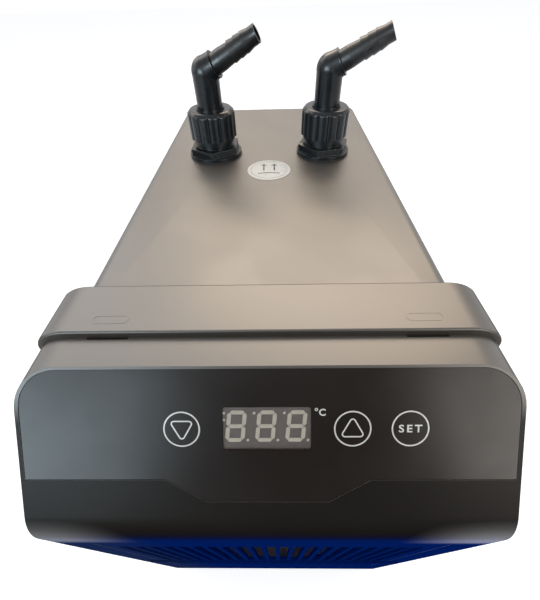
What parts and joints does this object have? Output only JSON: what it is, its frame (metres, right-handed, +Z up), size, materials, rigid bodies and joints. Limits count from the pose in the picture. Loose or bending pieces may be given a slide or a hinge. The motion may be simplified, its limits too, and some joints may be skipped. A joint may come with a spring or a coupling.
{
  "type": "aquarium chiller",
  "caption": "Upright aquarium water chiller with a sheet-metal casing, a moulded front with a slanted control panel, an air intake grille and two swivelling barbed hose elbows on top.",
  "frame": {"origin": "middle of the object's footprint, from the ledge of the grille to the end of the cable gland and between the collar's sides, on the plane that the feet stand on", "axes": "+Z up; -Y towards the control panel and the intake grille; +X to the right of someone who faces the panel"},
  "size_m": [0.215, 0.4032, 0.4315],
  "materials": {
    "casing_metal": "satin powder coat",
    "rear_metal": "satin powder coat",
    "zinc_sheet": "zinc-plated",
    "black_screw": "black oxide",
    "bright_screw": "zinc-plated",
    "foot_rubber": "matt",
    "front_plastic": "fine-textured, satin",
    "overlay_film": "smooth satin film",
    "smoked_window": "smoked, clear",
    "display_face": "unlit segments",
    "circuit_board": "solder mask",
    "switch_plastic": "matt",
    "key_film": "smooth satin film",
    "grille_blue": "satin gloss",
    "fitting_plastic": "semi-gloss moulded",
    "tail_plastic": "semi-gloss moulded",
    "seal_rubber": "matt",
    "washer_plastic": "matt",
    "sticker_film": "printed film",
    "tank_plastic": "moulded",
    "foam": "closed-cell foam",
    "titanium": "drawn tube",
    "copper": "drawn tube",
    "compressor_black": "gloss enamel",
    "fin_aluminium": "mill finish",
    "motor_metal": "cast",
    "fan_plastic": "moulded"
  },
  "bodies": {
    "root": {"housing_shell": "casing_metal", "rear_panel": "rear_metal", "base_pan": "zinc_sheet", "casing_screws": "black_screw", "rubber_feet": "foot_rubber", "foot_screws": "bright_screw", "collar_frame": "front_plastic", "front_bezel": "front_plastic", "control_overlay": "overlay_film", "display_window": "smoked_window", "led_display": "display_face", "display_board": "circuit_board", "tact_switches": "switch_plastic", "board_screws": "bright_screw", "fitting_left": "fitting_plastic", "fitting_right": "fitting_plastic", "flange_seal_left": "seal_rubber", "flange_seal_right": "seal_rubber", "locknut_left": "fitting_plastic", "locknut_right": "fitting_plastic", "o_ring_left": "seal_rubber", "o_ring_right": "seal_rubber", "sticker": "sticker_film", "exchanger_tank": "tank_plastic", "tank_lid": "tank_plastic", "tank_foam": "foam", "titanium_coil": "titanium", "coil_risers": "titanium", "temperature_probe": "bright_screw", "compressor": "compressor_black", "compressor_grommets": "foot_rubber", "compressor_nuts": "bright_screw", "terminal_cover": "switch_plastic", "condenser_fins": "fin_aluminium", "condenser_tubes": "copper", "condenser_brackets": "zinc_sheet", "fan_shroud": "fan_plastic", "fan_motor": "motor_metal", "filter_drier": "copper", "capillary_tube": "copper", "discharge_pipe": "copper", "suction_pipe": "copper", "liquid_line": "copper", "control_box": "switch_plastic", "power_board": "circuit_board", "cable_gland": "tail_plastic", "gland_nut": "tail_plastic"},
    "grille": {"intake_grille": "grille_blue"},
    "fan": {"fan_rotor": "fan_plastic"},
    "down_key": {"key_down": "key_film"},
    "up_key": {"key_up": "key_film"},
    "set_key": {"key_set": "key_film"},
    "washer_left": {"slip_washer_left": "washer_plastic"},
    "nut_left": {"union_nut_left": "fitting_plastic"},
    "elbow_left": {"elbow_left": "fitting_plastic", "hose_tail_left": "tail_plastic"},
    "washer_right": {"slip_washer_right": "washer_plastic"},
    "nut_right": {"union_nut_right": "fitting_plastic"},
    "elbow_right": {"elbow_right": "fitting_plastic", "hose_tail_right": "tail_plastic"}
  },
  "joints": [
    {"name": "grille_pull", "type": "slide", "parent": "root", "child": "grille", "axis": [0, -1, 0], "range_m": [0, 0.04]},
    {"name": "fan_spin", "type": "hinge", "parent": "root", "child": "fan", "pos_m": [0, -0.1284, 0.1255], "axis": [0, 1, 0], "continuous": true},
    {"name": "key_down_press", "type": "slide", "parent": "root", "child": "down_key", "axis": [0, 0.7478, -0.6639], "range_m": [0, 0.0003], "stiffness_N_per_m": 900},
    {"name": "key_up_press", "type": "slide", "parent": "root", "child": "up_key", "axis": [0, 0.7478, -0.6639], "range_m": [0, 0.0003], "stiffness_N_per_m": 900},
    {"name": "key_set_press", "type": "slide", "parent": "root", "child": "set_key", "axis": [0, 0.7478, -0.6639], "range_m": [0, 0.0003], "stiffness_N_per_m": 900},
    {"name": "washer_lift_left", "type": "slide", "parent": "root", "child": "washer_left", "axis": [0, 0, 1], "range_m": [0, 0.0091]},
    {"name": "nut_turn_left", "type": "hinge", "parent": "washer_left", "child": "nut_left", "pos_m": [-0.0468, 0.0686, 0.374], "axis": [0, 0, 1], "range_deg": [0, 1080]},
    {"name": "elbow_swivel_left", "type": "hinge", "parent": "root", "child": "elbow_left", "pos_m": [-0.0468, 0.0686, 0.374], "axis": [0, 0, 1], "continuous": true},
    {"name": "washer_lift_right", "type": "slide", "parent": "root", "child": "washer_right", "axis": [0, 0, 1], "range_m": [0, 0.0091]},
    {"name": "nut_turn_right", "type": "hinge", "parent": "washer_right", "child": "nut_right", "pos_m": [0.0468, 0.0686, 0.374], "axis": [0, 0, 1], "range_deg": [0, 1080]},
    {"name": "elbow_swivel_right", "type": "hinge", "parent": "root", "child": "elbow_right", "pos_m": [0.0468, 0.0686, 0.374], "axis": [0, 0, 1], "continuous": true}
  ],
  "couplings": [
    {"joint": "washer_lift_left", "follows": "nut_turn_left", "m_per_rad": 0.00047746},
    {"joint": "washer_lift_right", "follows": "nut_turn_right", "m_per_rad": 0.00047746}
  ]
}
